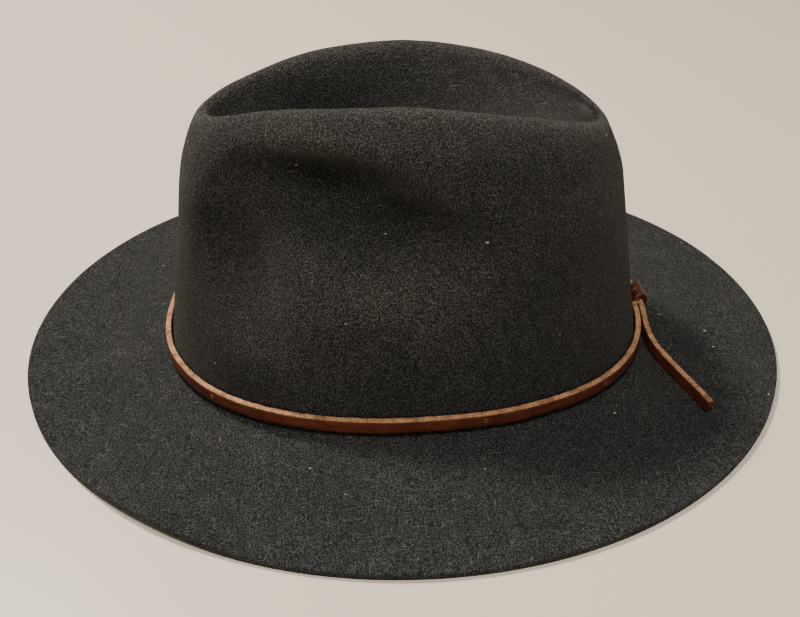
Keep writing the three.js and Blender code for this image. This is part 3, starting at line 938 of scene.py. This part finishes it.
# colours are dark, middle and light; weave is threads per metre along and across
finishes = {
    "sweatbandLeather": {
        "colors": ((0.016, 0.009, 0.006), (0.028, 0.016, 0.01), (0.045, 0.026, 0.017)),
        "scale": 900, "roughness": 0.5, "bump": 0.00015,
    },
    "brownThread": {
        "colors": ((0.1, 0.045, 0.022), (0.2, 0.095, 0.048), (0.33, 0.18, 0.1)),
        "scale": 4000, "roughness": 0.75, "bump": 0.0001,
    },
    "reedPlastic": {
        "colors": ((0.55, 0.53, 0.46), (0.64, 0.61, 0.54), (0.72, 0.69, 0.61)),
        "scale": 300, "roughness": 0.45, "bump": 0.00003,
    },
    "cottonTape": {
        "colors": ((0.008, 0.008, 0.009), (0.014, 0.014, 0.016), (0.024, 0.024, 0.027)),
        "scale": 2200, "roughness": 0.9, "bump": 0.00012, "weave": (1800, 2400),
    },
    "ribbonGrosgrain": {
        "colors": ((0.005, 0.006, 0.008), (0.009, 0.01, 0.013), (0.016, 0.018, 0.022)),
        "scale": 700, "roughness": 0.6, "bump": 0.0002, "weave": (2200, 0.1),
    },
    "labelCloth": {
        "colors": ((0.5, 0.47, 0.4), (0.62, 0.58, 0.5), (0.7, 0.67, 0.58)),
        "scale": 400, "roughness": 0.8, "bump": 0.0001, "weave": (2600, 2000),
    },
}
finish = {name: plainMaterial(name, **values) for name, values in finishes.items()}

inside = {
    "seam": 4.2,  # height of the reed above the table, before the rise of the break
    "seamRise": 0.9,  # share of the break's rise that the seam follows
    "wallFoot": 10.0,  # the wall is upright from here down
    "clearance": 1.2,  # room behind the sweatband for its join and labels
    "gap": 0.35,
    "grooveWidth": 0.6,
    "border": (0.8, 1.6),  # distances from a sheet's edge over which its fold ends
    "soft": 0.12,  # unevenness of the sheets
}


def seamHeight(angle):
    return inside["seam"] + breakRise(angle) * inside["seamRise"]


def wallFrame(angle, height):
    level = max(height, inside["wallFoot"] + breakRise(angle))
    point, out = wallHit(angle, level * mm)
    return Vector((point.x, point.y, height * mm)), out


def insideRoute(stand, up, start, end, steps):
    # a line round the inside of the wall: its points and the directions out of the head
    route = []
    outs = []
    for k in range(steps + 1):
        angle = start + (end - start) * k / steps
        point, out = wallFrame(angle, seamHeight(angle) + up)
        route.append(point - out * stand * mm)
        outs.append(out)
    return route, outs


def wallSheet(sheet):
    # a thin strip that stands on the inside of the wall
    columns, rows = sheet["grid"]
    bpy.ops.object.select_all(action="DESELECT")
    bpy.ops.mesh.primitive_grid_add(x_subdivisions=columns, y_subdivisions=rows, size=2)
    piece = bpy.context.object
    piece.name = sheet["name"]
    start, end = sheet["turn"]
    tall = sheet["high"] - sheet["low"]
    wide = (end - start) * felt["halfBase"][1]
    uvLayer = piece.data.uv_layers.active
    for loop in piece.data.loops:
        place = piece.data.vertices[loop.vertex_index].co
        uvLayer.data[loop.index].uv = ((place.x + 1) / 2 * wide * mm, (place.y + 1) / 2 * tall * mm)
    for vertex in piece.data.vertices:
        across = (vertex.co.x + 1) / 2
        upward = (vertex.co.y + 1) / 2
        angle = start + (end - start) * across
        point, out = wallFrame(angle, seamHeight(angle) + sheet["low"] + tall * upward)
        fromTop = tall * (1 - upward)
        fromSide = min(across, 1 - across) * wide
        groove = sheet["groove"] * bell(fromTop, sheet["hem"], inside["grooveWidth"])
        fromEdge = min(fromSide, fromTop, tall * upward)
        border = sheet["fold"] * (1 - easeBetween(fromEdge, *inside["border"]))
        soft = inside["soft"] * wander(point, 90, 6)
        vertex.co = point - out * (sheet["stand"] - groove + border + soft) * mm
    applyModifier(piece, "SOLIDIFY", thickness=sheet["thickness"] * mm, offset=-1)
    applyModifier(
        piece, "BEVEL", width=sheet["thickness"] * 0.3 * mm, segments=2,
        limit_method="ANGLE", angle_limit=math.radians(60),
    )
    smooth(piece, 45)
    return piece


bandThickness = 0.9
bandStand = felt["thickness"] + inside["clearance"]
labelStand = felt["thickness"] + inside["gap"]
buttGap = math.radians(0.25)


def labelTurn(middle, width):
    half = width / 2 / felt["halfBase"][1]
    return math.radians(middle) - half, math.radians(middle) + half


# groove and hem are the depth of the pressed line and its distance below the top edge
wallPieces = [
    {
        "name": "sweatband", "node": "sweatband", "slot": "band_leather",
        "finish": "sweatbandLeather",
        "turn": (backAngle + buttGap, backAngle + turn - buttGap), "low": 2, "high": 38,
        "stand": bandStand, "thickness": bandThickness,
        "groove": 0.25, "hem": 2.6, "fold": 0, "grid": (260, 30),
    },
    {
        "name": "sweatbandJoin", "node": "sweatband_join", "slot": "band_leather",
        "finish": "sweatbandLeather",
        "turn": labelTurn(90, 9), "low": 3, "high": 36,
        "stand": labelStand, "thickness": 0.4,
        "groove": 0, "hem": 2, "fold": 0.1, "grid": (12, 24),
    },
    {
        "name": "sizeLabel", "node": "size_label", "slot": "label_cloth",
        "finish": "labelCloth",
        "turn": labelTurn(112, 16), "low": 28, "high": 48,
        "stand": labelStand, "thickness": 0.4,
        "groove": 0.1, "hem": 3, "fold": 0.15, "grid": (24, 30),
    },
    {
        "name": "careLabel", "node": "care_label", "slot": "label_cloth",
        "finish": "labelCloth",
        "turn": labelTurn(66, 13), "low": 28, "high": 62,
        "stand": labelStand, "thickness": 0.4,
        "groove": 0.1, "hem": 3, "fold": 0.15, "grid": (20, 44),
    },
]
for sheet in wallPieces:
    finishPiece(wallSheet(sheet), sheet["node"], finish[sheet["finish"]])
print("sweatband and labels laid")

reed = {
    "radius": 0.8,
    "sides": 12,
    "steps": 200,
    "tapeRadius": 1.5,
    "tapeThickness": 0.35,
    "tapeRows": 14,
    "opening": math.radians(35),  # half of the tape's open side, which faces down
    "ripple": 0.03,
}


def layReed(route, outs):
    length = routeLengths(route)[-1]
    bpy.ops.object.select_all(action="DESELECT")
    bpy.ops.mesh.primitive_cylinder_add(
        vertices=reed["sides"], radius=reed["radius"] * mm, depth=length,
        location=(length / 2, 0, 0), rotation=(0, math.pi / 2, 0),
    )
    core = bpy.context.object
    core.name = "sweatbandReed"
    settle(core)
    cutAlong(core, 0, reed["steps"])
    layOnRoute(core, route, lambda k, along: outs[k])
    finishPiece(core, "sweatband_reed", finish["reedPlastic"])


def foldTape(route, outs):
    # a strip of tape folded round the reed
    length = routeLengths(route)[-1]
    bpy.ops.object.select_all(action="DESELECT")
    bpy.ops.mesh.primitive_grid_add(
        x_subdivisions=reed["steps"], y_subdivisions=reed["tapeRows"], size=2
    )
    tape = bpy.context.object
    tape.name = "reedTape"
    uvLayer = tape.data.uv_layers.active
    halfRound = reed["tapeRadius"] * math.pi * mm
    for loop in tape.data.loops:
        place = tape.data.vertices[loop.vertex_index].co
        uvLayer.data[loop.index].uv = ((place.x + 1) / 2 * length, place.y * halfRound)
    for vertex in tape.data.vertices:
        x = (vertex.co.x + 1) / 2 * length
        around = math.pi / 2 + reed["opening"] + (turn - 2 * reed["opening"]) * (vertex.co.y + 1) / 2
        ripple = 1 + reed["ripple"] * noise.noise(Vector((vertex.co.x * 60, around, 2)))
        out = reed["tapeRadius"] * ripple * mm
        vertex.co = Vector((x, out * math.cos(around), out * math.sin(around)))
    tape.data.update()
    outwards = 1 if facesIn(tape) else -1
    applyModifier(tape, "SOLIDIFY", thickness=reed["tapeThickness"] * mm, offset=outwards)
    layOnRoute(tape, route, lambda k, along: outs[k])
    finishPiece(tape, "reed_tape", finish["cottonTape"])


def facesIn(tube):
    # whether a tube along x has its faces turned towards its own axis
    total = 0
    for face in tube.data.polygons:
        total += face.normal.y * face.center.y + face.normal.z * face.center.z
    return total < 0


stitch = {
    "length": 3.1,
    "pitch": 4.0,
    "radius": 0.28,
    "up": 4.0,  # height above the seam
    "sunk": 0.1,
    "slant": 0.35,
    "hump": 0.6,  # how far its middle stands up, as a share of its radius
    "steps": 240,
}


def threadRun(name, count):
    # a row of short stitches along x
    pitch, length, radius = stitch["pitch"], stitch["length"], stitch["radius"]
    bpy.ops.object.select_all(action="DESELECT")
    bpy.ops.mesh.primitive_cylinder_add(
        vertices=8, radius=radius * mm, depth=length * mm,
        location=(pitch / 2 * mm, 0, 0), rotation=(0, math.pi / 2, 0),
    )
    thread = bpy.context.object
    thread.name = name
    settle(thread)
    cutAlong(thread, 0, 5)
    for vertex in thread.data.vertices:
        along = (vertex.co.x / mm - pitch / 2) / (length / 2)
        narrow = math.sqrt(max(1 - abs(along) ** 3, 0.05))
        hump = radius * stitch["hump"] * (1 - along * along) * mm
        vertex.co.y = vertex.co.y * narrow + hump
        vertex.co.z = vertex.co.z * narrow + stitch["slant"] * along * mm
    applyModifier(
        thread, "ARRAY", count=count, use_relative_offset=False,
        use_constant_offset=True, constant_offset_displace=(pitch * mm, 0, 0),
    )
    return thread


def sewSweatband():
    stand = bandStand + bandThickness - stitch["sunk"]
    route, outs = insideRoute(stand, stitch["up"], frontAngle, frontAngle + turn, stitch["steps"])
    count = round(routeLengths(route)[-1] / (stitch["pitch"] * mm))
    thread = threadRun("sweatbandStitching", count)
    layOnRoute(thread, route, lambda k, along: -outs[k])
    finishPiece(thread, "sweatband_stitching", finish["brownThread"])


tackTurns = [-49, 12, 45, 135, 172, 228]  # degrees round the hat
tack = {
    "radius": 0.78,
    "thread": 0.24,
    "raised": 0.02,
    "strands": 0.18,  # how far the two strands stand out of the round
    "twists": 9,
}


def sewTack(number, degrees):
    # a small ring of twisted thread on the face of the lace
    low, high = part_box("strap_tack_" + str(number))
    height = (low.z + high.z) / 2
    point, out = wallFrame(math.radians(degrees), height / mm)
    start = point + out * 12 * mm
    onLace = strapSurface.ray_cast(start, -out)[0]
    bpy.ops.object.select_all(action="DESELECT")
    bpy.ops.mesh.primitive_torus_add(
        major_radius=tack["radius"] * mm, minor_radius=tack["thread"] * mm,
        major_segments=36, minor_segments=10,
        location=onLace + out * tack["raised"] * mm, rotation=out.to_track_quat("Z", "Y").to_euler(),
    )
    ring = bpy.context.object
    ring.name = "strapTack" + str(number)
    for vertex in ring.data.vertices:
        around = math.atan2(vertex.co.y, vertex.co.x)
        centre = Vector((math.cos(around), math.sin(around), 0)) * tack["radius"] * mm
        across = vertex.co - centre
        roll = math.atan2(across.z, across.xy.dot(centre.xy))
        twist = math.cos(2 * roll + tack["twists"] * around)
        vertex.co = centre + across * (1 + tack["strands"] * twist)
    settle(ring)
    smooth(ring, 60)
    finishPiece(ring, "strap_tack_" + str(number), finish["brownThread"])


bow = {
    "reach": 10.4,  # half of its length
    "depth": 1.15,
    "sway": 0.3,
    "ribbon": 5.5,
    "thickness": 0.3,
    "steps": 96,
    "wrapWidth": 3.2,
    "wrapSteps": 32,
    "wrapRoom": 0.3,  # between the ribbon's edge and the wrap
}


def ribbonStrip(name, length, width, cuts):
    bpy.ops.object.select_all(action="DESELECT")
    bpy.ops.mesh.primitive_cube_add(size=1)
    strip = bpy.context.object
    strip.name = name
    strip.scale = (length, bow["thickness"] * mm, width * mm)
    strip.location.x = length / 2
    settle(strip)
    cutAlong(strip, 2, 6)
    cutAlong(strip, 0, cuts)
    uvLayer = strip.data.uv_layers.active
    for loop in strip.data.loops:
        place = strip.data.vertices[loop.vertex_index].co
        uvLayer.data[loop.index].uv = (place.x, place.z)
    return strip


def bowLine(centre):
    # a figure of eight seen from above
    line = []
    for k in range(bow["steps"] + 1):
        angle = turn * k / bow["steps"]
        x = bow["reach"] * math.sin(angle)
        y = bow["depth"] * math.sin(2 * angle)
        line.append(centre + Vector((x, y, -bow["sway"] * math.sin(angle) ** 2)) * mm)
    return line


def wrapLine(centre):
    # one turn round the middle of the bow
    tall = bow["ribbon"] / 2 + bow["wrapRoom"]
    line = []
    for k in range(bow["wrapSteps"] + 1):
        angle = turn * k / bow["wrapSteps"]
        line.append(centre + Vector((0, math.cos(angle), math.sin(angle) * tall)) * mm)
    return line


def tieBow():
    low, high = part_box("sweatband_bow")
    centre = (low + high) / 2
    loops = bowLine(centre)
    ribbon = ribbonStrip("sweatbandBow", routeLengths(loops)[-1], bow["ribbon"], 99)
    layOnRoute(ribbon, loops, lambda k, along: along.cross(Vector((0, 0, 1))))
    around = wrapLine(centre)
    outs = [(place - centre).normalized() for place in around]
    wrap = ribbonStrip("bowWrap", routeLengths(around)[-1], bow["wrapWidth"], 36)
    layOnRoute(wrap, around, lambda k, along: outs[k])
    activate(ribbon)
    wrap.select_set(True)
    bpy.ops.object.join()
    finishPiece(ribbon, "sweatband_bow", finish["ribbonGrosgrain"])


reedStand = felt["thickness"] + inside["gap"] + reed["tapeRadius"]
reedRoute, reedOuts = insideRoute(reedStand, 0, frontAngle, frontAngle + turn, reed["steps"])
layReed(reedRoute, reedOuts)
foldTape(reedRoute, reedOuts)
sewSweatband()
for number, degrees in enumerate(tackTurns, 1):
    sewTack(number, degrees)
tieBow()
print("reed, stitches, tacks and bow made")


floorColor = (0.87, 0.815, 0.71)


def floorMaterial():
    material, tree, shader = newMaterial("paleTable", 0.35, specular=0.4)
    shader.inputs["Base Color"].default_value = (*floorColor, 1)
    return material


def layFloor():
    bpy.ops.object.select_all(action="DESELECT")
    bpy.ops.mesh.primitive_plane_add(size=6)
    floor = bpy.context.object
    floor.name = "studioFloor"
    floor.data.materials.append(floorMaterial())


lights = [
    {"name": "keyLight", "round": 313, "up": 56, "away": 1.7, "size": 0.22, "power": 29},
    {"name": "topLight", "round": 80, "up": 72, "away": 1.7, "size": 0.5, "power": 16},
]
lightTarget = Vector((0, 0, 0.05))
lightColor = (1, 0.89, 0.76)
roomLight = 0.22  # even light from all round
roomColor = (1, 0.92, 0.82)


def hangLights():
    for light in lights:
        data = bpy.data.lights.new(light["name"], "AREA")
        data.shape = "SQUARE"
        data.size = light["size"]
        data.energy = light["power"]
        data.color = lightColor
        lamp = bpy.data.objects.new(light["name"], data)
        around = math.radians(light["round"])
        above = math.radians(light["up"])
        level = light["away"] * math.cos(above)
        height = light["away"] * math.sin(above)
        lamp.location = (level * math.sin(around), -level * math.cos(around), height)
        lamp.rotation_euler = (lightTarget - lamp.location).to_track_quat("-Z", "Y").to_euler()
        bpy.context.scene.collection.objects.link(lamp)
    world = bpy.data.worlds.new("studioWorld")
    world.use_nodes = True
    background = world.node_tree.nodes["Background"]
    background.inputs["Color"].default_value = (*roomColor, 1)
    background.inputs["Strength"].default_value = roomLight
    bpy.context.scene.world = world


layFloor()
hangLights()
